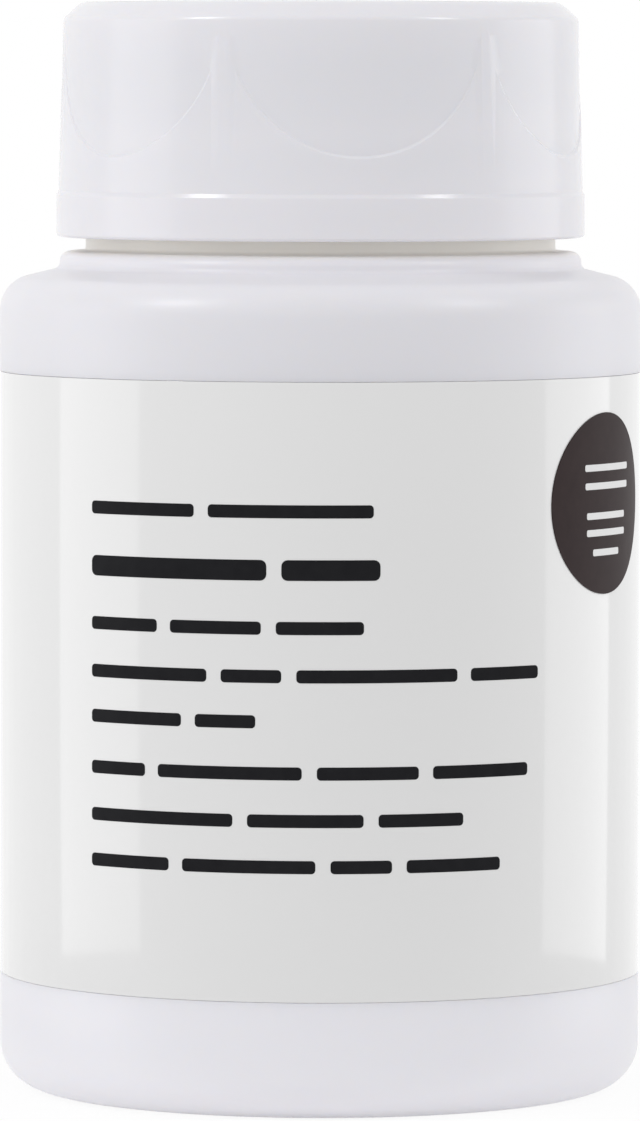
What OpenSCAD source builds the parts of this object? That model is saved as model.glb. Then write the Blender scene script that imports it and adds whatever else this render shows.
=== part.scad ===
// Nail polish remover pot: a white plastic jar with a screw cap, and a foam sponge inside
// with a hole that a finger dips into. Millimetres, +Z up. The origin is at the middle of the
// base, on the surface that the jar stands on. The front of the label faces -Y.

/* [Jar body] */
// Outside diameter of the body
body_d = 48; // [46:0.5:60]
// Height at which the straight side ends and turns into the shoulder
side_top = 58.4; // [48:0.2:90]
// Radius round the foot of the side
heel_r = 3.5; // [2.5:0.25:5]
// Radius between the side and the shoulder
shoulder_r = 2.6; // [1.6:0.1:3.5]
// Slope of the shoulder in degrees
shoulder_slope = 14; // [8:1:22]
// Thickness of the body's wall
jar_wall = 1.1; // [0.8:0.1:1.6]
// Thickness of the floor
floor_t = 1.4; // [1:0.1:2.4]
// Width of the ring that the jar stands on
foot_w = 3.5; // [2:0.5:5]
// Height of the hollow under the base
push_up = 1.6; // [0.8:0.2:3]

/* [Neck] */
// Outside diameter of the neck under its thread
neck_d = 35.2; // [33:0.2:36]
// Thickness of the neck's wall
neck_wall = 1.3; // [1:0.1:2]
// Height of the neck from its bead to its lip
neck_h = 16.12; // [15.6:0.02:24]
// How far the bead at the foot of the neck stands out
bead_out = 1.95; // [1.2:0.05:2.4]
// Height of the bead
bead_h = 1.24; // [1:0.02:2]
// Radius on the top edge of the bead
bead_round = 0.8; // [0.3:0.1:0.9]

/* [Thread] */
// Rise of the thread in one turn, a single start of six turns to the inch
thread_lead = 4.2333; // [3.8:0.0001:4.6]
// Height of the thread's ridge
thread_h = 0.65; // [0.4:0.05:0.8]
// Width of the ridge at its root
thread_root_w = 2.4; // [2:0.05:2.6]
// Width of the ridge at its crest
thread_crest_w = 1.2; // [0.8:0.05:1.4]
// Turns of thread on the neck, and in the cap
thread_turns = 1.75; // [1:0.05:1.9]
// Running gap between the cap's thread and the neck's, measured outwards
thread_gap = 0.2; // [0.15:0.05:0.4]
// Height from the middle of the neck's top thread to the lip
thread_drop = 2.9; // [2.4:0.1:3.2]

/* [Cap] */
// Thickness of the cap's side at its foot
cap_wall = 1.19; // [0.9:0.01:2]
// Thickness of the cap's top
cap_top_t = 1.3; // [0.9:0.1:2.5]
// Gap between the bead and the foot of the cap
foot_gap = 1.07; // [0.5:0.01:2]
// Height of the collar round the foot of the cap
collar_h = 3.15; // [2:0.05:5]
// How far the collar stands out from the side
collar_step = 0.15; // [0.1:0.05:0.6]
// Slope of the cap's side from upright in degrees
cap_draft = 1.65; // [0.5:0.05:3]
// Height of the bevel round the cap's top
bevel_h = 1.25; // [0.6:0.05:2]
// Width of the bevel round the cap's top
bevel_w = 1.4; // [0.6:0.05:2]
// Width of the shallow gate mark in the middle of the cap's top
gate_mark_d = 3; // [1:0.5:8]
// Depth of the gate mark
gate_mark_depth = 0.2; // [0.1:0.05:0.5]

/* [Finger scallops] */
// Number of shallow scallops round the cap
scallop_count = 6; // [3:1:6]
// Radius of a scallop's round outline
scallop_r = 9.45; // [6:0.05:9.6]
// Height from the foot of the cap to the bottom of a scallop
scallop_foot = 6.02; // [4.5:0.02:8]
// Depth of a scallop at its bottom edge
scallop_depth = 0.15; // [0.1:0.05:0.4]
// Height from the scallop's fading edge to the top of the cap
scallop_fade = 2.4; // [1.5:0.1:5]
// Turn of the first scallop from the front in degrees, with the cap closed
scallop_turn = 8.5; // [-30:0.5:30]

/* [Liner] */
// Thickness of the foam wad that seals the lip
liner_t = 1.2; // [0.8:0.1:2]
// Gap between the wad and the wall of its pocket
liner_gap = 0.1; // [0.05:0.05:0.3]
// Gap between the neck and the wall of the wad's pocket
pocket_gap = 0.4; // [0.3:0.05:0.6]
// How far the small ring that keeps the wad in stands in from the pocket's wall
keeper_in = 0.25; // [0.15:0.05:0.3]

/* [Label] */
// Height of the straight side above the label
label_top_gap = 4.6; // [2:0.1:12]
// Height of the label's lower edge above the base
label_foot = 8.8; // [6:0.1:20]
// Thickness of the label's film
label_t = 0.12; // [0.06:0.02:0.3]
// Thickness of the glue behind the label and behind the spot
glue_t = 0.02; // [0.01:0.01:0.06]
// Room above and below the label in its recess
label_room = 0.15; // [0.1:0.05:1]
// Width of the open seam between the label's two ends, at the back
label_seam = 1; // [0.4:0.1:4]
// Diameter of the dark spot stuck on the label
spot_d = 13.4; // [8:0.1:20]
// Thickness of the spot's film
spot_t = 0.06; // [0.04:0.01:0.2]
// Turn of the spot from the front towards +X in degrees
spot_turn = 60.9; // [-75:0.1:75]
// Height from the middle of the spot to the label's top edge
spot_drop = 9.3; // [8:0.1:30]

/* [Sponge] */
// Gap between the sponge and the jar's wall
sponge_gap = 0.3; // [0.2:0.1:1.5]
// Room between the end of the straight side and the sponge's top
sponge_drop = 2.4; // [1.5:0.1:12]
// Diameter of the finger hole
finger_d = 15; // [11:0.5:22]
// Foam left under the finger hole
finger_floor = 9; // [4:0.5:20]
// Radius on the rim of the finger hole
finger_round = 1.5; // [0.5:0.1:2.5]
// Radius on the sponge's outer edges
sponge_round = 2.5; // [2:0.1:4]

/* [Hidden] */
$fn = 128;

// Small radii that soften the moulded edges
edge_r = 0.3;
lip_r = 0.5;
film_edge_r = 0.08;

// Places in the jar, from the base up
body_r = body_d / 2;
foot_r = body_r - heel_r - foot_w;
push_up_slope_w = 2.2;
push_up_round = 1;
slope = tan(shoulder_slope);
// Where the line of the shoulder would meet the line of the side
shoulder_z = side_top + shoulder_r * (cos(shoulder_slope) - (1 - sin(shoulder_slope)) * slope);
neck_r = neck_d / 2;
bore_r = neck_r - neck_wall;
bead_r = neck_r + bead_out;
bead_z = shoulder_z + (body_r - bead_r) * slope;
bead_top = bead_z + bead_h;
lip_z = bead_top + neck_h;
// Drop of the inner face under the shoulder's outer face
shoulder_t = jar_wall / cos(shoulder_slope);
inner_r = body_r - jar_wall;
label_z0 = label_foot;
label_z1 = side_top - label_top_gap;
recess_depth = label_t + glue_t;
recess_ramp = min(recess_depth, label_room);

// Places in the thread
thread_embed = 0.4;
thread_bury = 0.08;
steps_per_turn = 48;
lead_in_steps = 5;
thread_start = 200;
flank = (thread_root_w - thread_crest_w) / 2 / thread_h;
neck_thread_z = lip_z - thread_drop - thread_turns * thread_lead;
cap_thread_z = neck_thread_z - thread_lead / 2;

// Places in the cap
foot_z = bead_top + foot_gap;
liner_z = lip_z;
roof_z = liner_z + liner_t;
top_z = roof_z + cap_top_t;
thread_wall_r = neck_r + thread_h + thread_gap;
side_r = thread_wall_r + cap_wall;
collar_r = side_r + collar_step;
collar_z = foot_z + collar_h;
ramp_h = 2 * collar_step;
side_z = collar_z + ramp_h;
draft = tan(cap_draft);
function side_r_at(z) = side_r - (z - side_z) * draft;
bevel_z = top_z - bevel_h;
pocket_r = neck_r + pocket_gap;
keeper_r = pocket_r - keeper_in;
keeper_h = 0.7;
keeper_below = 0.1;
pocket_foot_z = liner_z - keeper_below - keeper_h - 0.3;
wall_step_h = 0.5;

// Places in the scallops: the floor is a cone with less slope than the side, and meets it above
scallop_z = foot_z + scallop_foot + scallop_r;
fade_z = top_z - scallop_fade;
scallop_low_z = foot_z + scallop_foot;
floor_slope = draft - scallop_depth / (fade_z - scallop_low_z);
function floor_r_at(z) = side_r_at(fade_z) - (z - fade_z) * floor_slope;

// Places in the sponge
sponge_r = inner_r - sponge_gap;
sponge_z0 = push_up + floor_t;
sponge_z1 = side_top - sponge_drop;
finger_z0 = sponge_z0 + finger_floor;

// A point of an outline is [distance from the axis, height, radius on that corner]
function spot_of(p) = [p[0], p[1]];
function unit(v) = v / norm(v);
function before(outline, i) = spot_of(outline[(i + len(outline) - 1) % len(outline)]);
function after(outline, i) = spot_of(outline[(i + 1) % len(outline)]);
function turn(a, b) = a[0] * b[1] - a[1] * b[0];
function convex(outline, i) =
  turn(spot_of(outline[i]) - before(outline, i), after(outline, i) - spot_of(outline[i])) > 0;

// The piece between a sharp corner and the arc that rounds it
module corner_piece(outline, i) {
  corner = spot_of(outline[i]);
  radius = outline[i][2];
  back = unit(before(outline, i) - corner);
  ahead = unit(after(outline, i) - corner);
  half = acos(back * ahead) / 2;
  reach = radius / tan(half);
  centre = corner + unit(back + ahead) * radius / sin(half);
  difference() {
    polygon([corner, corner + back * reach, centre, corner + ahead * reach]);
    translate(centre) circle(r = radius);
  }
}

// An outline, listed counterclockwise, with true arcs on its corners
module rounded_outline(outline) {
  corners = [0:len(outline) - 1];
  difference() {
    union() {
      polygon([for (p = outline) spot_of(p)]);
      for (i = corners) if (outline[i][2] > 0 && !convex(outline, i)) corner_piece(outline, i);
    }
    for (i = corners) if (outline[i][2] > 0 && convex(outline, i)) corner_piece(outline, i);
  }
}

// One turn of an outline round the axis
module turned(outline) {
  rotate_extrude() rounded_outline(outline);
}

// A helical ridge on a round wall. It stands out where crest_r is over wall_r, and in where not.
// The ridge sinks into the wall over a few steps at both ends.
module thread_ridge(wall_r, crest_r, start_z) {
  out = sign(crest_r - wall_r);
  steps = round(thread_turns * steps_per_turn);
  root_r = wall_r - out * thread_embed;
  root_half = thread_root_w / 2 + flank * thread_embed;
  buried_r = wall_r - out * thread_bury;
  function rise(i) = min(1, i / lead_in_steps, (steps - i) / lead_in_steps);
  function crest(i) = buried_r + (crest_r - buried_r) * rise(i);
  function half(i) = root_half - flank * abs(crest(i) - root_r);
  function section(i) = [
    [root_r, -root_half], [crest(i), -half(i)], [crest(i), half(i)], [root_r, root_half]
  ];
  function place(p, i) =
    let (a = thread_start + i * 360 / steps_per_turn)
    [p[0] * cos(a), p[0] * sin(a), start_z + i * thread_lead / steps_per_turn + p[1]];
  sides = 4;
  points = [for (i = [0:steps], p = section(i)) place(p, i)];
  skin = [
    for (i = [0:steps - 1], j = [0:sides - 1])
    let (a = i * sides + j, b = i * sides + (j + 1) % sides)
    each [[a, a + sides, b], [b, a + sides, b + sides]]
  ];
  ends = [
    [0, 1, 2], [0, 2, 3],
    [for (j = [2, 1, 0]) steps * sides + j], [for (j = [3, 2, 0]) steps * sides + j]
  ];
  faces = concat(skin, ends);
  polyhedron(points, out > 0 ? [for (f = faces) [f[2], f[1], f[0]]] : faces);
}

module bottle() {
  color([0.93, 0.93, 0.95]) {
    turned([
      [0, push_up, 0],
      [foot_r - push_up_slope_w, push_up, push_up_round],
      [foot_r, 0, push_up_round],
      [body_r, 0, heel_r],
      [body_r, label_z0 - label_room, film_edge_r],
      [body_r - recess_depth, label_z0 - label_room + recess_ramp, 0],
      [body_r - recess_depth, label_z1 + label_room - recess_ramp, 0],
      [body_r, label_z1 + label_room, film_edge_r],
      [body_r, shoulder_z, shoulder_r],
      [bead_r, bead_z, edge_r],
      [bead_r, bead_top, bead_round],
      [neck_r, bead_top, edge_r],
      [neck_r, lip_z, lip_r],
      [bore_r, lip_z, edge_r],
      [bore_r, bead_z + (bead_r - bore_r) * slope - shoulder_t, push_up_round],
      [inner_r, shoulder_z + jar_wall * slope - shoulder_t, shoulder_r - jar_wall],
      [inner_r, floor_t, heel_r - jar_wall],
      [foot_r, floor_t, push_up_round],
      [foot_r - push_up_slope_w, push_up + floor_t, push_up_round],
      [0, push_up + floor_t, 0]
    ]);
    thread_ridge(neck_r, neck_r + thread_h, neck_thread_z);
  }
}

// A film wrapped round the body, from one radius out to another
module film_ring(r, t, z0, z1) {
  translate([0, 0, z0]) difference() {
    cylinder(r = r + t, h = z1 - z0);
    translate([0, 0, -1]) cylinder(r = r, h = z1 - z0 + 2);
  }
}

module wrap_label() {
  color([0.95, 0.95, 0.95]) difference() {
    film_ring(body_r - label_t, label_t, label_z0, label_z1);
    translate([-label_seam / 2, 0, 0]) cube([label_seam, body_d, side_top]);
  }
}

module spot_label() {
  spot_r = spot_d / 2;
  color([0.24, 0.2, 0.2]) intersection() {
    film_ring(body_r + glue_t, spot_t, label_z1 - spot_drop - spot_r - 1, label_z1 - spot_drop + spot_r + 1);
    rotate([0, 0, spot_turn]) translate([0, 0, label_z1 - spot_drop]) rotate([90, 0, 0])
      cylinder(r = spot_r, h = body_d);
  }
}

module sponge() {
  color([0.95, 0.86, 0.85]) turned([
    [0, sponge_z0, 0],
    [sponge_r, sponge_z0, sponge_round],
    [sponge_r, sponge_z1, sponge_round],
    [finger_d / 2, sponge_z1, finger_round],
    [finger_d / 2, finger_z0, sponge_round],
    [0, finger_z0, 0]
  ]);
}

// What one scallop takes away: a round outline seen from outside, down to the scallop's floor
module scallop_cut() {
  reach = collar_r + 1;
  difference() {
    translate([0, 0, scallop_z]) rotate([90, 0, 0]) cylinder(r = scallop_r, h = reach);
    floor_z0 = scallop_low_z - 1;
    floor_z1 = scallop_z + scallop_r + 1;
    translate([0, 0, floor_z0])
      cylinder(r1 = floor_r_at(floor_z0), r2 = floor_r_at(floor_z1), h = floor_z1 - floor_z0);
  }
}

module cap_shell() {
  bevel_corner_r = 0.6;
  top_corner_r = 1.2;
  color([0.95, 0.95, 0.96]) {
    difference() {
      turned([
        [0, roof_z, 0],
        [pocket_r, roof_z, 0],
        [pocket_r, liner_z - keeper_below, 0],
        [keeper_r, liner_z - keeper_below - keeper_h / 2, 0],
        [pocket_r, liner_z - keeper_below - keeper_h, 0],
        [pocket_r, pocket_foot_z, 0],
        [thread_wall_r, pocket_foot_z - wall_step_h, 0],
        [thread_wall_r, foot_z, edge_r],
        [collar_r, foot_z, edge_r],
        [collar_r, collar_z, collar_step],
        [side_r, side_z, collar_step],
        [side_r_at(bevel_z), bevel_z, bevel_corner_r],
        [side_r_at(bevel_z) - bevel_w, top_z, top_corner_r],
        [gate_mark_d / 2, top_z, 0],
        [gate_mark_d / 2 - gate_mark_depth, top_z - gate_mark_depth, 0],
        [0, top_z - gate_mark_depth, 0]
      ]);
      for (i = [0:scallop_count - 1]) rotate([0, 0, scallop_turn + i * 360 / scallop_count]) scallop_cut();
    }
    thread_ridge(thread_wall_r, neck_r + thread_gap, cap_thread_z);
  }
}

module cap_liner() {
  color([0.9, 0.9, 0.88]) translate([0, 0, liner_z]) cylinder(r = pocket_r - liner_gap, h = liner_t);
}

bottle();
wrap_label();
spot_label();
sponge();
cap_shell();
cap_liner();
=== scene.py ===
"""Looks of a nail polish remover pot: a white jar with a wrapped label, a screw cap and a foam insert.

Lengths are in metres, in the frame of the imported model: +Z up, the origin at the middle of the base,
and the front of the label towards -Y.
"""
import logging
import math
from contextlib import contextmanager
from dataclasses import dataclass, field
from enum import Enum
from typing import Callable, Iterator, Sequence

import bpy
from mathutils import Euler, Matrix, Vector, noise


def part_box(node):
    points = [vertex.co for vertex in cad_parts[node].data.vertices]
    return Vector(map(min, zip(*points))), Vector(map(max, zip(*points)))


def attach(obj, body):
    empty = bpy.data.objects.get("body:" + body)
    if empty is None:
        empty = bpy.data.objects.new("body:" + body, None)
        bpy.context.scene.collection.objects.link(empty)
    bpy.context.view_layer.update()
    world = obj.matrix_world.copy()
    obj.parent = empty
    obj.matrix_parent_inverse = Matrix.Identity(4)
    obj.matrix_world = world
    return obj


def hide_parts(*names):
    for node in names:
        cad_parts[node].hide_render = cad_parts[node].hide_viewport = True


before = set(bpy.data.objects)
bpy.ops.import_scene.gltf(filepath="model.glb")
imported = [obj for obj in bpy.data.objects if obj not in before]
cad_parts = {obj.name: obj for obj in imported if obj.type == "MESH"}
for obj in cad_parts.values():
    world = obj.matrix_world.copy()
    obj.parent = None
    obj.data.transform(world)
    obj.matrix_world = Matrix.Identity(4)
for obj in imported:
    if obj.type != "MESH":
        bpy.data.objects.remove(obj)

MM = 0.001
SHORTEST = 0.015 * MM
WELD = 0.002 * MM
LOG = logging.getLogger("pot")
Piece = bpy.types.Object
Socket = bpy.types.NodeSocket
Point = tuple[float, float]
Corner = tuple[float, float, float]


class Body(Enum):
    """The bodies of the part that a piece can ride on."""

    JAR = "jar"
    LINER = "liner"
    CAP = "cap"


class Slot(Enum):
    """The material slots of the record."""

    BOTTLE = "bottle_plastic"
    LABEL = "label_film"
    SPOT = "spot_film"
    FOAM = "foam"
    CAP = "cap_plastic"
    WAD = "liner_foam"


# Modelling helpers


def deselect() -> None:
    """Leaves nothing selected, so that an operator acts on the new piece alone."""
    if bpy.context.object and bpy.context.object.mode != "OBJECT":
        bpy.ops.object.mode_set(mode="OBJECT")
    bpy.ops.object.select_all(action="DESELECT")


def activate(piece: Piece) -> None:
    """Makes a piece the only selected and active one.

    Args:
        piece: The object to work on next.
    """
    deselect()
    piece.select_set(True)
    bpy.context.view_layer.objects.active = piece


@contextmanager
def editing(piece: Piece, pick: str = "FACE") -> Iterator[None]:
    """Opens a piece in edit mode with everything selected, and closes it again.

    Args:
        piece: The object to edit.
        pick: VERT, EDGE or FACE selection.
    """
    activate(piece)
    bpy.ops.object.mode_set(mode="EDIT")
    bpy.ops.mesh.select_mode(type=pick)
    bpy.ops.mesh.select_all(action="SELECT")
    yield
    bpy.ops.object.mode_set(mode="OBJECT")


def apply_modifier(piece: Piece, kind: str, **settings: object) -> None:
    """Adds one modifier to a piece and applies it.

    Args:
        piece: The object to change.
        kind: The modifier's type.
        **settings: The modifier's properties.
    """
    activate(piece)
    modifier = piece.modifiers.new(kind.lower(), kind)
    for key, value in settings.items():
        setattr(modifier, key, value)
    bpy.ops.object.modifier_apply(modifier=modifier.name)


def cut_or_join(piece: Piece, tool: Piece, operation: str) -> None:
    """Joins a tool's shape to a piece or cuts it away, and removes the tool.

    Args:
        piece: The object to change.
        tool: The other shape.
        operation: UNION or DIFFERENCE.
    """
    apply_modifier(piece, "BOOLEAN", object=tool, operation=operation, solver="EXACT")
    bpy.data.objects.remove(tool)


def join(pieces: Sequence[Piece]) -> Piece:
    """Joins pieces into the first of them.

    Args:
        pieces: The objects to join.

    Returns:
        The joined object.
    """
    activate(pieces[0])
    for piece in pieces:
        piece.select_set(True)
    bpy.ops.object.join()
    return bpy.context.object


def face_outwards(piece: Piece) -> None:
    """Turns every face of a closed piece outwards."""
    with editing(piece):
        bpy.ops.mesh.normals_make_consistent(inside=False)


def extrude(distance: float) -> None:
    """Draws the faces that are selected in edit mode out along Y."""
    bpy.ops.mesh.extrude_region_move(TRANSFORM_OT_translate={"value": (0, distance, 0)})


def divide_disc(radius: float, rings: int) -> None:
    """Divides the disc that is selected in edit mode into rings round a middle point.

    Args:
        radius: The disc's radius.
        rings: How many rings.
    """
    for _ in range(rings - 1):
        bpy.ops.mesh.inset(thickness=radius / rings, depth=0)
    bpy.ops.mesh.poke()


def smooth(piece: Piece, degrees: float) -> None:
    """Shades a piece smooth, with a crease wherever two faces meet at more than an angle."""
    activate(piece)
    bpy.ops.object.shade_smooth_by_angle(angle=math.radians(degrees))


def move_points(piece: Piece, place: Callable[[Vector], Vector]) -> None:
    """Moves every point of a piece to where a function puts it.

    Args:
        piece: The object to reshape.
        place: Gives a point's new place from its old one.
    """
    for vertex in piece.data.vertices:
        vertex.co = place(vertex.co.copy())
    piece.data.update()


def rounded(corners: Sequence[Corner], closed: bool = True, per_turn: int = 64) -> list[Point]:
    """Lays true arcs on an outline's corners.

    Args:
        corners: Distance from the axis, height and corner radius, counterclockwise.
        closed: Whether the last corner joins the first.
        per_turn: Points that a full circle would get.

    Returns:
        The outline as plain points.
    """
    points: list[Point] = []
    count = len(corners)
    for index, (across, height, radius) in enumerate(corners):
        corner = Vector((across, height))
        end = not closed and index in (0, count - 1)
        if radius <= 0 or end:
            points.append((across, height))
            continue
        back = (Vector(corners[index - 1][:2]) - corner).normalized()
        ahead = (Vector(corners[(index + 1) % count][:2]) - corner).normalized()
        half = back.angle(ahead) / 2
        centre = corner + (back + ahead).normalized() * radius / math.sin(half)
        first = corner + back * radius / math.tan(half) - centre
        sweep = math.pi - 2 * half
        side = 1 if back.x * ahead.y - back.y * ahead.x < 0 else -1
        steps = max(2, math.ceil(min(per_turn * sweep / math.tau, radius * sweep / SHORTEST)))
        for step in range(steps + 1):
            spoke = Matrix.Rotation(side * sweep * step / steps, 2) @ first
            points.append(tuple(centre + spoke))
    return points


def evenly(points: Sequence[Point], longest: float) -> list[Point]:
    """Splits the long stretches of an outline.

    Args:
        points: The outline.
        longest: Length that no step goes over.

    Returns:
        The outline with the added points.
    """
    out: list[Point] = []
    for start, end in zip(points, points[1:]):
        steps = max(1, math.ceil(math.dist(start, end) / longest))
        out += [tuple(Vector(start).lerp(Vector(end), step / steps)) for step in range(steps)]
    return out + [points[-1]]


def outline_mesh(name: str, points: Sequence[Point], closed: bool) -> Piece:
    """Lays a circle's points along an outline in the XZ plane.

    Args:
        name: The new piece's name.
        points: Distance from the axis and height of each point.
        closed: Whether the outline closes on itself.

    Returns:
        The outline as an object.
    """
    deselect()
    bpy.ops.mesh.primitive_circle_add(vertices=len(points), radius=1, fill_type="NOTHING")
    piece = bpy.context.object
    piece.name = piece.data.name = name
    for vertex, (across, height) in zip(piece.data.vertices, points):
        vertex.co = (across, 0, height)
    if not closed:
        ends = {0, len(points) - 1}
        with editing(piece, "EDGE"):
            bpy.ops.mesh.select_all(action="DESELECT")
        for edge in piece.data.edges:
            edge.select = set(edge.vertices) == ends
        activate(piece)
        bpy.ops.object.mode_set(mode="EDIT")
        bpy.ops.mesh.delete(type="EDGE")
        bpy.ops.object.mode_set(mode="OBJECT")
    return piece


def turned(name: str, points: Sequence[Point], closed: bool = False, steps: int = 240,
           angle: float = math.tau) -> Piece:
    """Spins an outline round the pot's axis, as on a lathe.

    Args:
        name: The new piece's name.
        points: The outline.
        closed: Whether the outline closes on itself rather than on the axis.
        steps: Faces round the axis.
        angle: How far to spin.

    Returns:
        A closed shape with its faces outwards.
    """
    piece = outline_mesh(name, points, closed)
    with editing(piece, "VERT"):
        bpy.ops.mesh.spin(steps=steps, angle=angle, center=(0, 0, 0), axis=(0, 0, 1))
        bpy.ops.mesh.select_all(action="SELECT")
        bpy.ops.mesh.remove_doubles(threshold=WELD)
        if angle < math.tau:
            bpy.ops.mesh.fill_holes(sides=0)
    face_outwards(piece)
    return piece


def mount(piece: Piece, finish: "Recipe", body: Body, slot: Slot, *stands_for: str) -> None:
    """Dresses a piece, sets it on its body in place of a solid, and reports it.

    Args:
        piece: The modelled object.
        finish: Its material.
        body: The body that it moves with.
        slot: The record's slot that its finish belongs to; not used.
        *stands_for: The solids that it takes the place of.
    """
    finish.dress(piece)
    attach(piece, body.value)
    if stands_for:
        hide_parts(*stands_for)
    LOG.info("%s on %s: %d faces", piece.name, body.value, len(piece.data.polygons))


# Finishes


class Signal:
    """A shader socket that takes part in plain arithmetic."""

    def __init__(self, recipe: "Recipe", socket: Socket) -> None:
        """Wraps one socket of a recipe's material."""
        self.recipe = recipe
        self.socket = socket

    def math(self, operation: str, *others: object, swap: bool = False) -> "Signal":
        """Adds a Math node on this value.

        Args:
            operation: The node's operation.
            *others: Further values or signals.
            swap: Whether the first of the others goes first.

        Returns:
            The result as a signal.
        """
        operands = [self, *others]
        if swap:
            operands[0], operands[1] = operands[1], operands[0]
        node = self.recipe.node("ShaderNodeMath", {"operation": operation}, dict(enumerate(operands)))
        return Signal(self.recipe, node.outputs[0])

    def __add__(self, other: object) -> "Signal":
        """This plus another."""
        return self.math("ADD", other)

    def __sub__(self, other: object) -> "Signal":
        """This less another."""
        return self.math("SUBTRACT", other)

    def __rsub__(self, other: object) -> "Signal":
        """Another less this."""
        return self.math("SUBTRACT", other, swap=True)

    def __mul__(self, other: object) -> "Signal":
        """This times another."""
        return self.math("MULTIPLY", other)

    def band(self, low: float, high: float, soft: float) -> "Signal":
        """Makes a mask that is 1 between two values.

        Args:
            low: The lower value.
            high: The higher value.
            soft: How wide each of its soft edges is.

        Returns:
            The mask, from 0 to 1.
        """
        rise = ((self - low) * (1 / soft) + 0.5).math("MINIMUM", 1.0).math("MAXIMUM", 0.0)
        fall = ((high - self) * (1 / soft) + 0.5).math("MINIMUM", 1.0).math("MAXIMUM", 0.0)
        return rise * fall


class Recipe:
    """A material or the surroundings under construction."""

    def __init__(self, block: bpy.types.Material | bpy.types.World) -> None:
        """Opens a block's nodes.

        Args:
            block: A new material, with its Principled shader, or a new world.
        """
        block.use_nodes = True
        self.block = block
        self.nodes = block.node_tree.nodes
        self.links = block.node_tree.links
        self.shader = self.nodes.get("Principled BSDF")

    @classmethod
    def named(cls, name: str) -> "Recipe":
        """Starts a new material."""
        return cls(bpy.data.materials.new(name))

    def node(self, kind: str, settings: dict[str, object] | None = None,
             inputs: dict[object, object] | None = None) -> bpy.types.Node:
        """Adds any node.

        Args:
            kind: The node's type.
            settings: Its properties, set before its sockets.
            inputs: A value or a signal for each socket, by name or number.

        Returns:
            The new node.
        """
        made = self.nodes.new(kind)
        for key, value in (settings or {}).items():
            setattr(made, key, value)
        for key, value in (inputs or {}).items():
            self.feed(made.inputs[key], value)
        return made

    def feed(self, socket: Socket, value: object) -> None:
        """Links a signal to a socket, or sets a plain value on it.

        Args:
            socket: The input socket.
            value: A signal, an output socket, a number or a colour.
        """
        if isinstance(value, Signal):
            self.links.new(value.socket, socket)
        elif isinstance(value, Socket):
            self.links.new(value, socket)
        else:
            socket.default_value = value

    def set(self, name: str, value: object) -> None:
        """Feeds a value or a signal to one of the shader's sockets."""
        self.feed(self.shader.inputs[name], value)

    def place(self) -> Socket:
        """The point's place in the frame, in metres."""
        return self.node("ShaderNodeTexCoord").outputs["Object"]

    def height(self) -> Signal:
        """The point's height above the base."""
        split = self.node("ShaderNodeSeparateXYZ", inputs={0: self.place()})
        return Signal(self, split.outputs["Z"])

    def reach(self) -> Signal:
        """Measures the point's distance from the pot's axis.

        Returns:
            The distance, in metres.
        """
        split = self.node("ShaderNodeSeparateXYZ", inputs={0: self.place()})
        across, along = (Signal(self, split.outputs[name]) for name in "XY")
        return (across * across + along * along).math("SQRT")

    def noise(self, scale: float, detail: float = 2.0,
              stretch: tuple[float, float, float] = (1, 1, 1)) -> Signal:
        """Noise on the place, about 0.5 on average.

        Args:
            scale: Its grain, in waves a metre.
            detail: Its octaves.
            stretch: How much finer it is along each axis.

        Returns:
            The noise value.
        """
        mapped = self.node("ShaderNodeMapping", inputs={"Vector": self.place(), "Scale": stretch})
        made = self.node("ShaderNodeTexNoise", inputs={
            "Vector": mapped.outputs[0], "Scale": scale, "Detail": detail})
        return Signal(self, made.outputs["Fac"])

    def blend(self, factor: Signal, first: object, second: object) -> Socket:
        """Mixes two colours.

        Args:
            factor: How much of the second there is, from 0 to 1.
            first: A colour or a colour socket.
            second: Another.

        Returns:
            The mixed colour's socket.
        """
        mix = self.node("ShaderNodeMix", {"data_type": "RGBA"})
        self.feed(mix.inputs["Factor"], factor)
        self.feed(mix.inputs[6], first)
        self.feed(mix.inputs[7], second)
        return mix.outputs[2]

    def relief(self, height: Signal, depth: float) -> None:
        """Turns a 0 to 1 height into a bump of a real depth, in metres."""
        bump = self.node("ShaderNodeBump", inputs={"Strength": 1.0, "Distance": depth, "Height": height})
        self.set("Normal", bump.outputs[0])

    def haze(self, level: float, spread: float, scale: float) -> None:
        """Lets the roughness drift about a level by a spread, at a grain in waves a metre."""
        self.set("Roughness", self.noise(scale) * spread + (level - spread / 2))

    def dress(self, piece: Piece) -> None:
        """Gives the finished material to a piece."""
        piece.data.materials.clear()
        piece.data.materials.append(self.block)


Colour = tuple[float, float, float, float]


def grey(level: float, red: float = 1.0, green: float = 1.0, blue: float = 1.0) -> Colour:
    """A grey of a level with a slight tint."""
    return (level * red, level * green, level * blue, 1.0)


def shades_of(colour: Colour, factors: tuple[float, float]) -> list[Colour]:
    """Two shades of a colour, each darker or lighter by a factor."""
    return [tuple(min(1.0, part * factor) for part in colour[:3]) + (1.0,) for factor in factors]


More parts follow.
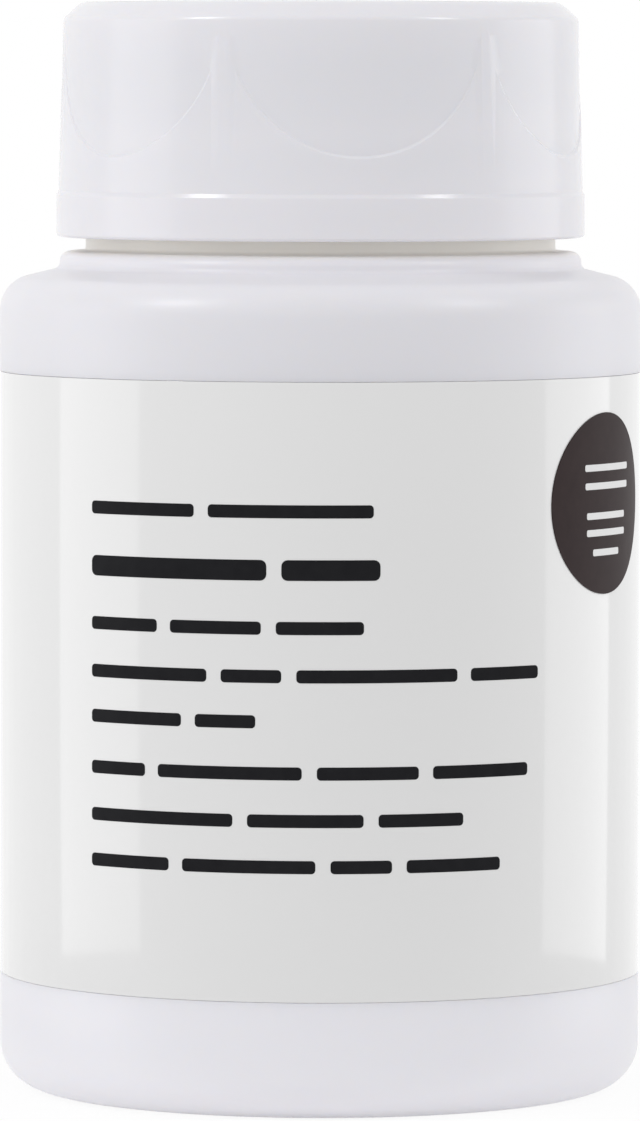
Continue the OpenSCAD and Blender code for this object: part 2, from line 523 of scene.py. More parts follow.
@dataclass(frozen=True)
class MouldedPlastic:
    """Glossy white moulded plastic with a trace of flow marks and ripple, and, where a band is given,
    painted warm shade and a painted glow there.
    """

    name: str
    colour: Colour
    roughness: float
    haze: float = 0.05
    clouds: tuple[float, float] = (0.985, 1.012)
    ripple: float = 12e-6
    grain: float = 1.2e-6
    translucence: float = 0.35
    light_depth: float = 2 * MM
    # Where the painted warm shade and painted glow go, their colours and the glow's strength.
    painted_glow_band: tuple[float, float] | None = None
    painted_glow_reach: tuple[float, float] = (17 * MM, 1000 * MM)
    painted_glow_soft: float = 0.5 * MM
    reach_soft: float = 0.4 * MM
    painted_shade_colour: Colour = (0.82, 0.79, 0.735, 1.0)
    painted_glow_colour: Colour = (1.0, 0.97, 0.92, 1.0)
    painted_glow_strength: float = 0.13

    def make(self) -> Recipe:
        """Builds the material.

        Returns:
            The finished material.
        """
        recipe = Recipe.named(self.name)
        tone = recipe.blend(recipe.noise(scale=45, detail=3), *shades_of(self.colour, self.clouds))
        # Painted shade and painted glow: on the band at the neck's foot the colour turns darker and
        # warmer and the plastic glows, standing in for the shade and the light through the plastic in
        # the gap under the cap.
        if self.painted_glow_band:
            outside = recipe.reach().band(*self.painted_glow_reach, self.reach_soft)
            painted_shade_and_glow = recipe.height().band(*self.painted_glow_band, self.painted_glow_soft) * outside
            tone = recipe.blend(painted_shade_and_glow, tone, self.painted_shade_colour)
            recipe.set("Emission Color", recipe.blend(painted_shade_and_glow, grey(0), self.painted_glow_colour))
            recipe.set("Emission Strength", self.painted_glow_strength)
        recipe.set("Base Color", tone)
        recipe.haze(self.roughness, self.haze, scale=160)
        swell = recipe.noise(scale=38, detail=1, stretch=(1, 1, 0.6))
        grain = recipe.noise(scale=2600)
        recipe.relief(swell + grain * (self.grain / self.ripple), self.ripple)
        recipe.set("Subsurface Weight", self.translucence)
        recipe.set("Subsurface Radius", (1.0, 0.85, 0.7))
        recipe.set("Subsurface Scale", self.light_depth)
        return recipe


@dataclass(frozen=True)
class LabelFilm:
    """Glossy white film, stretched round the jar, with painted shade that makes it greyer towards its
    foot.
    """

    name: str = "glossy_film"
    painted_shade_foot_colour: Colour = grey(0.785)
    painted_light_head_colour: Colour = grey(0.865)
    foot: float = 5 * MM
    head: float = 55 * MM
    roughness: float = 0.12
    haze: float = 0.05
    clouding: float = 0.1
    ripple: float = 6e-6
    grain_share: float = 0.05
    coat: float = 0.8
    coat_roughness: float = 0.06

    def make(self) -> Recipe:
        """Builds the material.

        Returns:
            The finished material.
        """
        recipe = Recipe.named(self.name)
        # Painted shade: the colour darkens from the head to the foot, standing in for light that falls
        # from above; the clouds are random tone.
        rise = (recipe.height() - self.foot) * (1 / (self.head - self.foot))
        clouds = (recipe.noise(scale=60) - 0.5) * self.clouding
        recipe.set("Base Color", recipe.blend(rise + clouds, self.painted_shade_foot_colour, self.painted_light_head_colour))
        recipe.haze(self.roughness, self.haze, scale=300)
        swell = recipe.noise(scale=55, detail=1, stretch=(1, 1, 0.35))
        recipe.relief(swell + recipe.noise(scale=3000) * self.grain_share, self.ripple)
        recipe.set("Coat Weight", self.coat)
        recipe.set("Coat Roughness", self.coat_roughness)
        return recipe


@dataclass(frozen=True)
class Ink:
    """Print or dark film, matt against the glossy label, with a faint mottle."""

    name: str
    colour: Colour
    mottle_colour: Colour
    roughness: float = 0.36
    haze: float = 0.06
    ripple: float = 6e-6
    reflection: float = 0.04

    def make(self) -> Recipe:
        """Builds the material.

        Returns:
            The finished material.
        """
        recipe = Recipe.named(self.name)
        mottle = recipe.noise(scale=900, detail=3)
        recipe.set("Base Color", recipe.blend(mottle, self.colour, self.mottle_colour))
        recipe.haze(self.roughness, self.haze, scale=400)
        recipe.relief(recipe.noise(scale=55, detail=1, stretch=(1, 1, 0.35)), self.ripple)
        recipe.set("Specular IOR Level", self.reflection)
        return recipe


@dataclass(frozen=True)
class OpenFoam:
    """Soft open-cell foam: pores of two sizes between thin webs, with painted shade darkening the pores.
    """

    name: str = "open_foam"
    colour: Colour = (0.97, 0.88, 0.86, 1.0)
    painted_pit_shade: Colour = (0.84, 0.69, 0.66, 1.0)
    pore: float = 0.62 * MM
    pit_depth: float = 0.16 * MM
    large_share: float = 0.6
    steepness: float = 3.0
    roughness: float = 0.9
    haze: float = 0.1

    def cells(self, recipe: Recipe, size: float) -> Signal:
        """Makes pores of one size.

        Args:
            recipe: The material that they are for.
            size: Width of a pore.

        Returns:
            0 on the web between two pores, and 1 well inside one.
        """
        made = recipe.node(
            "ShaderNodeTexVoronoi",
            {"feature": "DISTANCE_TO_EDGE"},
            {"Vector": recipe.place(), "Scale": 1 / size, "Randomness": 1.0},
        )
        return (Signal(recipe, made.outputs["Distance"]) * self.steepness).math("MINIMUM", 1.0)

    def make(self) -> Recipe:
        """Builds the material.

        Returns:
            The finished material.
        """
        recipe = Recipe.named(self.name)
        large = self.cells(recipe, self.pore)
        small = self.cells(recipe, self.pore / 2)
        depth = large * self.large_share + small * (1 - self.large_share)
        # Painted shade, partly random: the colour darkens inside the pores where shade falls, by a noisy
        # amount.
        shade = depth * recipe.noise(scale=220, detail=3)
        recipe.set("Base Color", recipe.blend(shade, self.colour, self.painted_pit_shade))
        recipe.haze(self.roughness, self.haze, scale=500)
        recipe.relief(1 - depth, self.pit_depth)
        return recipe


@dataclass(frozen=True)
class WadFoam:
    """Dense closed-cell foam of the sealing wad."""

    name: str = "wad_foam"
    colour: Colour = grey(0.8, 1.0, 1.0, 0.97)
    speckles: tuple[float, float] = (0.93, 1.03)
    roughness: float = 0.66
    haze: float = 0.12
    pit_depth: float = 0.03 * MM

    def make(self) -> Recipe:
        """Builds the material.

        Returns:
            The finished material.
        """
        recipe = Recipe.named(self.name)
        speckle = recipe.noise(scale=1800, detail=4)
        recipe.set("Base Color", recipe.blend(speckle, *shades_of(self.colour, self.speckles)))
        recipe.haze(self.roughness, self.haze, scale=700)
        recipe.relief(speckle, self.pit_depth)
        return recipe


# The neck's foot, where the jar's plastic gets painted warm shade and a painted glow.
NECK_FOOT_PAINTED_BAND = (62.7 * MM, 64.3 * MM)
BOTTLE_PLASTIC = MouldedPlastic("jar_plastic", grey(0.872, 1.008, 0.99, 1.04), 0.34, painted_glow_band=NECK_FOOT_PAINTED_BAND)
CAP_PLASTIC = MouldedPlastic("cap_plastic", grey(0.88, 1.008, 0.99, 1.04), 0.18)
PRINT_INK = Ink("print_ink", (0.012, 0.012, 0.014, 1.0), (0.02, 0.02, 0.022, 1.0))
SPOT_FILM = Ink("spot_film", (0.037, 0.027, 0.028, 1.0), (0.05, 0.036, 0.036, 1.0))
PALE_INK = Ink("pale_ink", grey(0.84), grey(0.9))


# Each row of print, in mm: its start along the label from the front, its drop from the label's top, its
# height, and its bars' lengths.
Row = tuple[float, float, float, Sequence[float]]
LABEL_ROWS: list[Row] = [
    (-18.4, 9.35, 0.95, (9, 12.2)),
    (-18.4, 13.6, 1.5, (14.5, 7.2)),
    (-18.4, 17.8, 0.95, (6, 7, 6.4)),
    (-18.4, 21.3, 0.95, (10, 4.5, 12, 6)),
    (-18.4, 24.6, 0.95, (8, 4.6)),
    (-18.4, 28.35, 0.95, (5, 11, 7.5, 8)),
    (-18.4, 31.8, 0.95, (12, 8.5, 6.5)),
    (-18.4, 35.15, 0.95, (7, 10, 4.5, 7.5)),
]
SPOT_ROWS: list[Row] = [
    (22.57758, 6.65, 0.5, [7.0]),
    (22.61947, 8.0, 0.5, [6.9]),
    (22.82891, 10.2, 0.5, [6.1]),
    (22.82891, 11.45, 0.5, [6.1]),
    (23.66666, 12.9, 0.5, [4.1]),
]
LABEL_INK = 0.015 * MM
SPOT_INK = 0.01 * MM


@dataclass(frozen=True)
class ThreadForm:
    """The screw thread that the neck and the cap share."""

    lead: float = 4.2333 * MM
    turns: float = 1.75
    root_width: float = 2.4 * MM
    crest_width: float = 1.2 * MM
    height: float = 0.65 * MM
    gap: float = 0.2 * MM
    embed: float = 0.4 * MM
    buried: float = 0.08 * MM
    start_degrees: float = 200.0
    steps_per_turn: int = 48
    lead_in_steps: int = 5

    def ridge(self, name: str, wall: float, crest: float, start: float) -> Piece:
        """Models one helical ridge that fades into its wall at both ends.

        Args:
            name: The new piece's name.
            wall: Radius of the wall it stands on.
            crest: Radius of its crest.
            start: Height of its first section's middle.

        Returns:
            The ridge, sunk into the wall a little.
        """
        out = 1 if crest > wall else -1
        flank = (self.root_width - self.crest_width) / 2 / self.height
        root = wall - out * self.embed
        root_half = self.root_width / 2 + flank * self.embed
        crest_half = self.crest_width / 2
        section = [(root, -root_half), (crest, -crest_half), (crest, crest_half), (root, root_half)]
        piece = outline_mesh(name, section, True)
        steps = round(self.turns * self.steps_per_turn)
        apply_modifier(
            piece, "SCREW", axis="Z", angle=math.tau * self.turns, screw_offset=self.lead * self.turns,
            steps=steps, render_steps=steps, use_merge_vertices=False, use_smooth_shade=False,
        )
        middle = (root + crest) / 2
        for index, vertex in enumerate(piece.data.vertices):
            step = index // len(section)
            rise = min(1.0, step / self.lead_in_steps, (steps - step) / self.lead_in_steps)
            reach = math.hypot(vertex.co.x, vertex.co.y)
            if (reach - middle) * out > 0:
                sunk = wall - out * self.buried
                now = sunk + (crest - sunk) * rise
                half = root_half - flank * abs(now - root)
                centre = self.lead * step / self.steps_per_turn
                side = math.copysign(1, vertex.co.z - centre)
                shrink = now / reach
                vertex.co = Vector((vertex.co.x * shrink, vertex.co.y * shrink, centre + side * half))
        turn = Matrix.Rotation(math.radians(self.start_degrees), 4, "Z")
        piece.data.transform(Matrix.Translation((0, 0, start)) @ turn)
        with editing(piece, "VERT"):
            bpy.ops.mesh.fill_holes(sides=0)
        face_outwards(piece)
        return piece


@dataclass
class Jar:
    """The moulded jar, its wrapped label, the print and spot on it, and the foam inside."""

    thread: ThreadForm
    body: float = 24 * MM
    side_top: float = 58.4 * MM
    heel: float = 3.5 * MM
    shoulder: float = 2.6 * MM
    slope: float = math.tan(math.radians(14))
    wall: float = 1.1 * MM
    floor: float = 1.4 * MM
    foot_width: float = 3.5 * MM
    push_up: float = 1.6 * MM
    push_up_run: float = 2.2 * MM
    inner_round: float = 1 * MM
    neck: float = 17.6 * MM
    neck_wall: float = 1.3 * MM
    neck_height: float = 16.12 * MM
    bead_out: float = 1.95 * MM
    bead_height: float = 1.24 * MM
    bead_round: float = 0.8 * MM
    thread_drop: float = 2.9 * MM
    film: float = 0.12 * MM
    glue: float = 0.02 * MM
    label_room: float = 0.04 * MM
    seam: float = 1.0 * MM
    spot_film: float = 0.06 * MM
    spot_degrees: float = 60.9
    edge: float = 0.3 * MM
    bead_foot: float = 0.5 * MM
    lip_round: float = 0.5 * MM
    recess_edge: float = 0.02 * MM
    word_gap: float = 1.1 * MM
    bar_slice: float = 0.6 * MM
    bar_round: float = 0.3
    spot_rings: int = 14
    finger_hole: float = 7.5 * MM
    finger_floor: float = 9 * MM
    foam_round: float = 2.5 * MM
    foam_rough: float = 0.22 * MM
    foam_patch: float = 3.2 * MM
    foam_skin: float = 4 * MM
    label_low: float = field(init=False)
    label_high: float = field(init=False)

    def __post_init__(self) -> None:
        """Reads the label's place from its solid."""
        low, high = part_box("wrap_label")
        self.label_low = low.z
        self.label_high = high.z

    @property
    def shoulder_corner(self) -> float:
        """Height at which the shoulder's line would meet the side."""
        tilt = math.atan(self.slope)
        return self.side_top + self.shoulder * (math.cos(tilt) - (1 - math.sin(tilt)) * self.slope)

    @property
    def bead(self) -> float:
        """Radius of the bead under the cap."""
        return self.neck + self.bead_out

    @property
    def bead_low(self) -> float:
        """Height of the bead's foot."""
        return self.shoulder_corner + (self.body - self.bead) * self.slope

    @property
    def bead_high(self) -> float:
        """Height of the bead's top."""
        return self.bead_low + self.bead_height

    @property
    def lip(self) -> float:
        """Height of the neck's lip."""
        return self.bead_high + self.neck_height

    @property
    def neck_thread_start(self) -> float:
        """Height of the neck thread's first section."""
        return self.lip - self.thread_drop - self.thread.turns * self.thread.lead

    def model_bottle(self) -> Piece:
        """Turns the jar with its label recess and joins the neck's thread to it.

        Returns:
            The jar.
        """
        foot = self.body - self.heel - self.foot_width
        bore = self.neck - self.neck_wall
        inner = self.body - self.wall
        under = self.wall / math.cos(math.atan(self.slope))
        recess = self.film + self.glue
        low = self.label_low - self.label_room
        high = self.label_high + self.label_room
        ramp = min(recess, self.label_room)
        outline = rounded([
            (0, self.push_up, 0),
            (foot - self.push_up_run, self.push_up, self.inner_round),
            (foot, 0, self.inner_round),
            (self.body, 0, self.heel),
            (self.body, low, self.recess_edge),
            (self.body - recess, low + ramp, self.recess_edge / 2),
            (self.body - recess, high - ramp, self.recess_edge / 2),
            (self.body, high, self.recess_edge),
            (self.body, self.shoulder_corner, self.shoulder),
            (self.bead, self.bead_low, self.bead_foot),
            (self.bead, self.bead_high, self.bead_round),
            (self.neck, self.bead_high, self.edge),
            (self.neck, self.lip, self.lip_round),
            (bore, self.lip, self.edge),
            (bore, self.bead_low + (self.bead - bore) * self.slope - under, self.inner_round),
            (inner, self.shoulder_corner + self.wall * self.slope - under, self.shoulder - self.wall),
            (inner, self.floor, self.heel - self.wall),
            (foot, self.floor, self.inner_round),
            (foot - self.push_up_run, self.push_up + self.floor, self.inner_round),
            (0, self.push_up + self.floor, 0),
        ], closed=False)
        piece = turned("bottle_body", outline)
        ridge = self.thread.ridge("neck_thread", self.neck, self.neck + self.thread.height,
                                  self.neck_thread_start)
        cut_or_join(piece, ridge, "UNION")
        smooth(piece, degrees=32)
        return piece

    def model_label(self) -> Piece:
        """Wraps the film round the jar, open by a narrow seam at the back.

        Returns:
            The label.
        """
        outside = self.body
        inside = self.body - self.film
        corner = 0.03 * MM
        outline = rounded([
            (inside, self.label_low, corner),
            (outside, self.label_low, corner),
            (outside, self.label_high, corner),
            (inside, self.label_high, corner),
        ], per_turn=24)
        gap = self.seam / self.body
        piece = turned("label_wrap", outline, closed=True, steps=300, angle=math.tau - gap)
        piece.data.transform(Matrix.Rotation(math.pi / 2 + gap / 2, 4, "Z"))
        smooth(piece, degrees=50)
        return piece

    def wrap(self, point: Vector) -> Vector:
        """Wraps a flat point on the label.

        Args:
            point: x along the label from the front, y off the film, and z up.

        Returns:
            Its place on the round jar.
        """
        around = point.x / self.body
        reach = self.body + point.y
        return Vector((reach * math.sin(around), -reach * math.cos(around), point.z))

    def model_print(self, name: str, rows: Sequence[Row], low: float, high: float) -> Piece:
        """Lays rows of plain bars on the label, where it is printed.

        Args:
            name: The piece's name.
            rows: The rows.
            low: How far off the label's face the ink begins.
            high: How far off it the ink ends.

        Returns:
            All the bars as one piece.
        """
        bars = []
        for start, drop, tall, words in rows:
            place = Vector((start * MM, low, self.label_high - drop * MM))
            for length in words:
                size = Vector((length, tall)) * MM
                bars.append(self.model_bar(place, size, high - low))
                place.x += size.x + self.word_gap
        piece = join(bars)
        piece.name = piece.data.name = name
        smooth(piece, degrees=40)
        return piece

    def model_bar(self, place: Vector, size: Vector, thickness: float) -> Piece:
        """Models one printed bar with rounded corners.

        Args:
            place: Middle of its left end, with x along the label from the front and y off its face.
            size: Its length and its height.
            thickness: How thick the ink is.

        Returns:
            The bar, wrapped on the label.
        """
        deselect()
        bpy.ops.mesh.primitive_plane_add(size=1, rotation=(math.pi / 2, 0, 0))
        bar = bpy.context.object
        bpy.ops.object.transform_apply(rotation=True)
        bar.data.transform(Matrix.Diagonal((size.x, 1, size.y, 1)))
        with editing(bar, "VERT"):
            bpy.ops.mesh.bevel(offset=size.y * self.bar_round, segments=4, affect="VERTICES")
        slices = math.ceil(size.x / self.bar_slice)
        for cut in range(1, slices):
            with editing(bar, "VERT"):
                across = -size.x / 2 + size.x * cut / slices
                bpy.ops.mesh.bisect(plane_co=(across, 0, 0), plane_no=(1, 0, 0))
        with editing(bar):
            extrude(thickness)
        middle = place + Vector((size.x / 2, 0, 0))
        move_points(bar, lambda point: self.wrap(point + middle))
        face_outwards(bar)
        return bar

    def model_spot(self) -> Piece:
        """Models the round spot as a thin film that lies on the label.

        Returns:
            The spot.
        """
        low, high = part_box("spot_label")
        radius = (high.z - low.z) / 2
        inside = self.body + self.glue
        outside = inside + self.spot_film
        deselect()
        bpy.ops.mesh.primitive_circle_add(vertices=128, radius=radius, fill_type="NGON",
                                          rotation=(math.pi / 2, 0, 0))
        piece = bpy.context.object
        piece.name = piece.data.name = "label_spot"
        bpy.ops.object.transform_apply(rotation=True)
        with editing(piece):
            divide_disc(radius, self.spot_rings)
            bpy.ops.mesh.select_all(action="SELECT")
            extrude(self.spot_film)
        face_outwards(piece)

        def lay(point: Vector) -> Vector:
            """Drops a flat point straight onto the round film."""
            reach = outside if point.y < self.spot_film / 2 else inside
            return Vector((point.x, -math.sqrt(reach ** 2 - point.x ** 2), point.z))

        move_points(piece, lay)
        turn = Matrix.Rotation(math.radians(self.spot_degrees), 4, "Z")
        piece.data.transform(Matrix.Translation((0, 0, (low.z + high.z) / 2)) @ turn)
        smooth(piece, degrees=40)
        return piece

    def model_foam(self) -> Piece:
        """Turns the foam with its finger hole and roughens its cut faces.

        Returns:
            The foam insert.
        """
        low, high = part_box("sponge")
        outer = high.x
        hole = self.finger_hole
        hole_floor = low.z + self.finger_floor
        outline = rounded([
            (0, low.z, 0),
            (outer, low.z, self.foam_round),
            (outer, high.z, self.foam_round),
            (hole, high.z, 1.5 * MM),
            (hole, hole_floor, self.foam_round),
            (0, hole_floor, 0),
        ], closed=False, per_turn=40)
        piece = turned("foam_insert", evenly(outline, longest=0.9 * MM), steps=150)

        def roughen(point: Vector) -> Vector:
            """Pulls a point in towards the foam's middle by a patchy amount.

            Args:
                point: A point of the smooth foam.

            Returns:
                Its new place.
            """
            patch = noise.fractal(point / self.foam_patch, 0.6, 2.1, 3) * 0.5 + 0.5
            reach = math.hypot(point.x, point.y)
            middle = (outer + hole) / 2
            centre = Vector((point.x, point.y, 0)) * (middle / reach) if reach > hole * 0.9 else Vector()
            centre.z = max(low.z + self.foam_skin, min(high.z - self.foam_skin, point.z))
            inwards = (centre - point).normalized()
            return point + inwards * self.foam_rough * max(0.0, min(1.0, patch))

        move_points(piece, roughen)
        smooth(piece, degrees=180)
        return piece

    def build(self) -> None:
        """Models, dresses and mounts the jar's pieces."""
        mount(self.model_bottle(), BOTTLE_PLASTIC.make(), Body.JAR, Slot.BOTTLE, "bottle")
        mount(self.model_label(), LabelFilm().make(), Body.JAR, Slot.LABEL, "wrap_label")
        ink = self.model_print("label_print", LABEL_ROWS, -LABEL_INK, LABEL_INK)
        mount(ink, PRINT_INK.make(), Body.JAR, Slot.LABEL)
        mount(self.model_spot(), SPOT_FILM.make(), Body.JAR, Slot.SPOT, "spot_label")
        face = self.glue + self.spot_film
        pale = self.model_print("spot_print", SPOT_ROWS, face - SPOT_INK, face + SPOT_INK)
        mount(pale, PALE_INK.make(), Body.JAR, Slot.SPOT)
        foam = self.model_foam()
        mount(foam, OpenFoam().make(), Body.JAR, Slot.FOAM, "sponge")


@dataclass
class Cap:
    """The screw cap with its scallops, and the wad inside it."""

    thread: ThreadForm
    neck: float
    neck_thread_start: float
    lip: float
    foot: float
    wall: float = 1.19 * MM
    top_thickness: float = 1.3 * MM
    collar_height: float = 3.15 * MM
    collar_step: float = 0.15 * MM
    draft: float = math.tan(math.radians(1.65))
    bevel_height: float = 1.25 * MM
    bevel_width: float = 1.4 * MM
    bevel_corner: float = 0.6 * MM
    top_corner: float = 1.2 * MM
    edge: float = 0.3 * MM
    gate_radius: float = 1.5 * MM
    gate_depth: float = 0.2 * MM
    liner: float = 1.2 * MM
    liner_gap: float = 0.1 * MM
    pocket_gap: float = 0.4 * MM
    keeper_in: float = 0.25 * MM
    keeper_height: float = 0.7 * MM
    keeper_below: float = 0.1 * MM
    keeper_corner: float = 0.1 * MM
    keeper_tip: float = 0.15 * MM
    keeper_stand: float = 0.3 * MM
    shelf_drop: float = 0.5 * MM
    gate_corner: float = 0.08 * MM
    scallops: int = 6
    scallop_radius: float = 9.45 * MM
    scallop_foot: float = 6.02 * MM
    scallop_depth: float = 0.15 * MM
    scallop_fade: float = 2.4 * MM
    scallop_degrees: float = 8.5
    scallop_bevel: float = 0.2 * MM

    @property
    def roof(self) -> float:
        """Height of the underside of the top."""
        return self.lip + self.liner

    @property
    def top(self) -> float:
        """Height of the top."""
        return self.roof + self.top_thickness

    @property
    def thread_wall(self) -> float:
        """Radius of the wall that carries the cap's thread."""
        return self.neck + self.thread.height + self.thread.gap

    @property
    def side(self) -> float:
        """Radius of the side just above the collar."""
        return self.thread_wall + self.wall

    @property
    def side_low(self) -> float:
        """Height at which the side begins above the collar."""
        return self.foot + self.collar_height + 2 * self.collar_step

    def side_at(self, height: float) -> float:
        """Radius of the drafted side at a height."""
        return self.side - (height - self.side_low) * self.draft

    def floor_at(self, height: float) -> float:
        """Gives a scallop's floor, which meets the side where the scallop fades.

        Args:
            height: Height above the base.

        Returns:
            The floor's radius there.
        """
        fade = self.top - self.scallop_fade
        slope = self.draft - self.scallop_depth / (fade - self.foot - self.scallop_foot)
        return self.side_at(fade) - (height - fade) * slope

    def model_scallop(self) -> Piece:
        """Models what one scallop takes away, with a sloping edge round its floor.

        Returns:
            The shape to cut from the front of the cap.
        """
        ramp = self.scallop_depth / self.scallop_bevel
        proud = 0.1 * MM
        block = 1 * MM
        rim = self.scallop_radius + proud / ramp
        floor_rim = self.scallop_radius - self.scallop_bevel
        cover = self.side + 2 * MM
        middle = self.foot + self.scallop_foot + self.scallop_radius
        deselect()
        bpy.ops.mesh.primitive_circle_add(vertices=180, radius=rim, fill_type="NGON",
                                          location=(0, -cover, middle), rotation=(math.pi / 2, 0, 0))
        cutter = bpy.context.object
        bpy.ops.object.transform_apply(location=True, rotation=True)
        with editing(cutter):
            extrude(block)
            bpy.ops.mesh.inset(thickness=rim - floor_rim, depth=0)
            divide_disc(floor_rim, rings=16)
        edge_limit = (rim + floor_rim) / 2

        def sink(point: Vector) -> Vector:
            """Moves a point of the inner face onto the side or the scallop's floor.

            Args:
                point: A point of the flat shape.

            Returns:
                Its place on the round cap, or the same place on the outer face.
            """
            if point.y < -cover + block / 2:
                return point
            off_middle = math.hypot(point.x, point.z - middle)
            reach = self.side_at(point.z) + proud if off_middle > edge_limit else self.floor_at(point.z)
            return Vector((point.x, -math.sqrt(reach ** 2 - point.x ** 2), point.z))

        move_points(cutter, sink)
        face_outwards(cutter)
        return cutter

    def model_shell(self) -> Piece:
        """Turns the cap, cuts its scallops and joins its thread.

        Returns:
            The cap.
        """
        pocket = self.neck + self.pocket_gap
        keeper = pocket - self.keeper_in
        keeper_top = self.lip - self.keeper_below
        pocket_foot = keeper_top - self.keeper_height - self.keeper_stand
        collar = self.side + self.collar_step
        collar_top = self.foot + self.collar_height
        bevel_low = self.top - self.bevel_height
        gate_floor = self.top - self.gate_depth
        outline = rounded([
            (0, self.roof, 0),
            (pocket, self.roof, self.edge),
            (pocket, keeper_top, self.keeper_corner),
            (keeper, keeper_top - self.keeper_height / 2, self.keeper_tip),
            (pocket, keeper_top - self.keeper_height, self.keeper_corner),
            (pocket, pocket_foot, self.keeper_corner),
            (self.thread_wall, pocket_foot - self.shelf_drop, self.keeper_corner),
            (self.thread_wall, self.foot, self.edge),
            (collar, self.foot, self.edge),
            (collar, collar_top, self.collar_step),
            (self.side, self.side_low, self.collar_step),
            (self.side_at(bevel_low), bevel_low, self.bevel_corner),
            (self.side_at(bevel_low) - self.bevel_width, self.top, self.top_corner),
            (self.gate_radius, self.top, self.gate_corner),
            (self.gate_radius - self.gate_depth, gate_floor, self.gate_corner),
            (0, gate_floor, 0),
        ], closed=False)
        piece = turned("cap_body", outline)
        cutters = []
        pattern = self.model_scallop()
        for index in range(self.scallops):
            cutter = pattern.copy()
            cutter.data = pattern.data.copy()
            bpy.context.collection.objects.link(cutter)
            turn = math.radians(self.scallop_degrees) + math.tau * index / self.scallops
            cutter.data.transform(Matrix.Rotation(turn, 4, "Z"))
            cutters.append(cutter)
        bpy.data.objects.remove(pattern)
        cut_or_join(piece, join(cutters), "DIFFERENCE")
        ridge = self.thread.ridge("cap_thread", self.thread_wall, self.neck + self.thread.gap,
                                  self.neck_thread_start - self.thread.lead / 2)
        cut_or_join(piece, ridge, "UNION")
        smooth(piece, degrees=25)
        return piece

    def model_wad(self) -> Piece:
        """Turns the wad, with the ring that the lip presses into its underside.

        Returns:
            The wad.
        """
        radius = self.neck + self.pocket_gap - self.liner_gap
        soft = 0.12 * MM
        dent = 0.08 * MM
        dent_side = 0.2 * MM
        lip_out = self.neck - 0.1 * MM
        lip_in = self.neck - 1.2 * MM
        outline = rounded([
            (0, self.lip, 0),
            (lip_in, self.lip, soft),
            (lip_in + dent_side, self.lip + dent, soft),
            (lip_out - dent_side, self.lip + dent, soft),
            (lip_out, self.lip, soft),
            (radius, self.lip, soft),
            (radius, self.roof, soft),
            (0, self.roof, 0),
        ], closed=False)
        piece = turned("cap_wad", outline, steps=160)
        smooth(piece, degrees=40)
        return piece

    def build(self) -> None:
        """Models, dresses and mounts the cap's pieces."""
        mount(self.model_shell(), CAP_PLASTIC.make(), Body.CAP, Slot.CAP, "cap_shell")
        mount(self.model_wad(), WadFoam().make(), Body.LINER, Slot.WAD, "cap_liner")


@dataclass(frozen=True)
class Softbox:
    """A rectangular soft lamp that faces the pot."""

    name: str
    bearing: float
    elevation: float
    size: tuple[float, float]
    brightness: float
    distance: float = 0.6

    def build(self, target: Vector) -> None:
        """Adds the lamp on its bearing, in degrees from the front towards +X.

        Args:
            target: The point that it faces.
        """
        data = bpy.data.lights.new(self.name, "AREA")
        data.shape = "RECTANGLE"
        data.size, data.size_y = self.size
        data.energy = self.brightness * self.size[0] * self.size[1] * math.pi
        turn = Euler((-math.radians(self.elevation), 0, math.radians(self.bearing))).to_matrix()
        away = turn @ Vector((0, -self.distance, 0))
        lamp = bpy.data.objects.new(self.name, data)
        lamp.location = target + away
        lamp.rotation_euler = (-away).to_track_quat("-Z", "Y").to_euler()
        bpy.context.collection.objects.link(lamp)


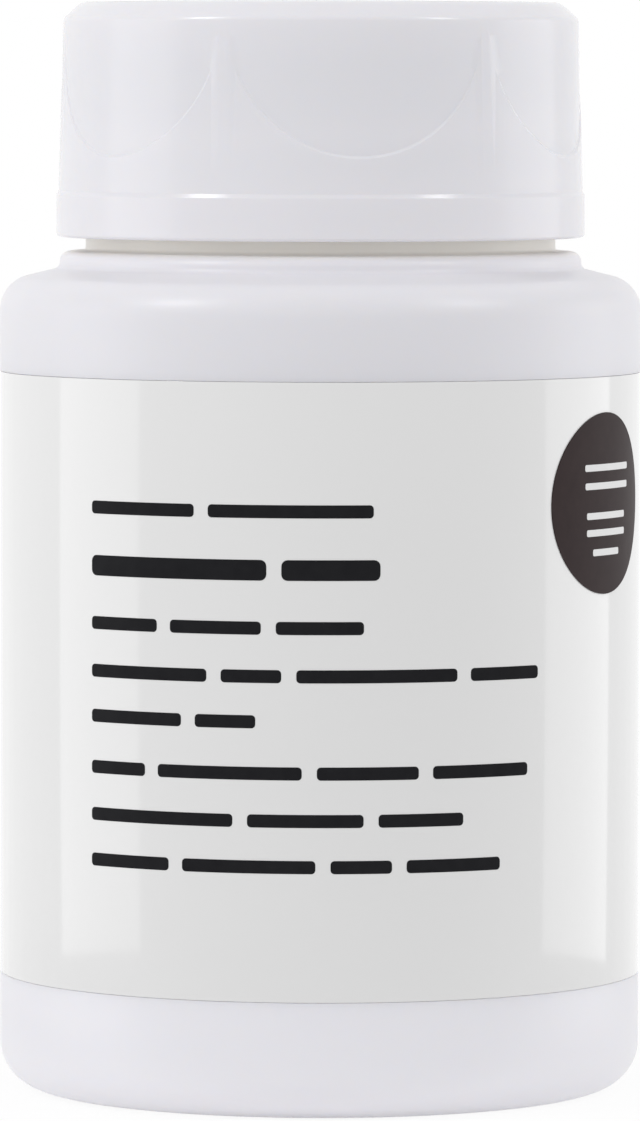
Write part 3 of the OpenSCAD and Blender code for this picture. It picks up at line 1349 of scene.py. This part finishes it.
@dataclass
class Studio:
    """The camera, lamps, floor and white surroundings."""

    eye_distance: float = 631 * MM
    eye_height: float = 76.47 * MM
    lens: float = 270.2
    sensor: float = 36
    pitch_degrees: float = 3.35
    roll_degrees: float = 0.1
    aim_height: float = 40 * MM
    ambient: float = 0.645
    floor_share: float = 0.86
    floor_radius: float = 70 * MM
    floor_drop: float = 0.02 * MM
    floor_tone: float = 0.92
    floor_glow: float = 0.127

    def build_camera(self) -> None:
        """Sets the camera at the photograph's place and view."""
        data = bpy.data.cameras.new("camera")
        data.lens = self.lens
        data.sensor_width = self.sensor
        camera = bpy.data.objects.new("camera", data)
        camera.location = (0, -self.eye_distance, self.eye_height)
        level = Euler((math.radians(90 - self.pitch_degrees), 0, 0))
        roll = Matrix.Rotation(math.radians(self.roll_degrees), 3, "Z")
        camera.rotation_euler = (level.to_matrix() @ roll).to_euler()
        bpy.context.collection.objects.link(camera)
        bpy.context.scene.camera = camera

    def build_lamps(self) -> None:
        """Adds the soft lamps, a tall one and a high one at each side."""
        target = Vector((0, 0, self.aim_height))
        for lamp in (
            Softbox("lamp_left_side", -86, 0, (0.42, 0.5), 0.74),
            Softbox("lamp_right_side", 106, 0, (0.42, 0.5), 0.7),
            Softbox("lamp_left_high", -60, 40, (0.12, 0.2), 8.5),
            Softbox("lamp_right_high", 61, 40, (0.1, 0.2), 6.6),
        ):
            lamp.build(target)

    def seen_directly(self, recipe: Recipe) -> Signal:
        """Tells the rays that show a surface to the eye, straight or by a reflection.

        Args:
            recipe: The material or surroundings that asks.

        Returns:
            1 for such rays, and 0 for the light that falls on a surface.
        """
        path = recipe.node("ShaderNodeLightPath")
        camera = Signal(recipe, path.outputs["Is Camera Ray"])
        for name in ("Is Glossy Ray", "Is Transmission Ray"):
            camera = camera.math("MAXIMUM", Signal(recipe, path.outputs[name]))
        return camera

    def build_world(self) -> None:
        """Makes the surroundings white to the eye, with a plain level of light."""
        world = bpy.data.worlds.new("surroundings")
        bpy.context.scene.world = world
        recipe = Recipe(world)
        recipe.nodes.clear()
        lit = recipe.node("ShaderNodeBackground", inputs={"Color": grey(1), "Strength": self.ambient})
        seen = recipe.node("ShaderNodeBackground", inputs={"Color": grey(1), "Strength": 1.0})
        mix = recipe.node("ShaderNodeMixShader", inputs={
            0: self.seen_directly(recipe), 1: lit.outputs[0], 2: seen.outputs[0]})
        recipe.node("ShaderNodeOutputWorld", inputs={"Surface": mix.outputs[0]})

    def build_floor(self) -> None:
        """Adds the plain pale floor, white to the eye, with the pot's faint shadow."""
        deselect()
        bpy.ops.mesh.primitive_circle_add(vertices=96, radius=self.floor_radius, fill_type="NGON")
        floor = bpy.context.object
        floor.name = "floor"
        floor.data.transform(Matrix.Translation((0, 0, -self.floor_drop)))
        recipe = Recipe.named("pale_floor")
        recipe.nodes.clear()
        matte = recipe.node("ShaderNodeBsdfDiffuse", inputs={"Color": grey(self.floor_tone)})
        lift = recipe.node("ShaderNodeEmission", inputs={"Color": grey(1), "Strength": self.floor_glow})
        lit = recipe.node("ShaderNodeAddShader", inputs={0: matte.outputs[0], 1: lift.outputs[0]})
        glow = recipe.node("ShaderNodeEmission", inputs={"Color": grey(1), "Strength": 1.0})
        away = recipe.node("ShaderNodeVectorMath", {"operation": "LENGTH"}, {0: recipe.place()})
        spread = Signal(recipe, away.outputs["Value"]) * (1 / self.floor_radius)
        share = (spread * (1.0 - self.floor_share) + self.floor_share).math("MINIMUM", 1.0)
        mix = recipe.node("ShaderNodeMixShader", inputs={
            0: self.seen_directly(recipe) * share, 1: lit.outputs[0], 2: glow.outputs[0]})
        recipe.node("ShaderNodeOutputMaterial", inputs={"Surface": mix.outputs[0]})
        recipe.dress(floor)

    def build(self) -> None:
        """Builds the whole studio."""
        self.build_camera()
        self.build_lamps()
        self.build_world()
        self.build_floor()
        bpy.context.scene.view_settings.view_transform = "Standard"


def main() -> None:
    """Builds the pot and the studio round it, and reports each piece."""
    logging.basicConfig(level=logging.INFO, format="%(message)s")
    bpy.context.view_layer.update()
    Studio().build()
    thread = ThreadForm()
    jar = Jar(thread)
    jar.build()
    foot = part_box("cap_shell")[0].z
    Cap(thread, neck=jar.neck, neck_thread_start=jar.neck_thread_start, lip=jar.lip, foot=foot).build()


if __name__ == "__main__":
    main()
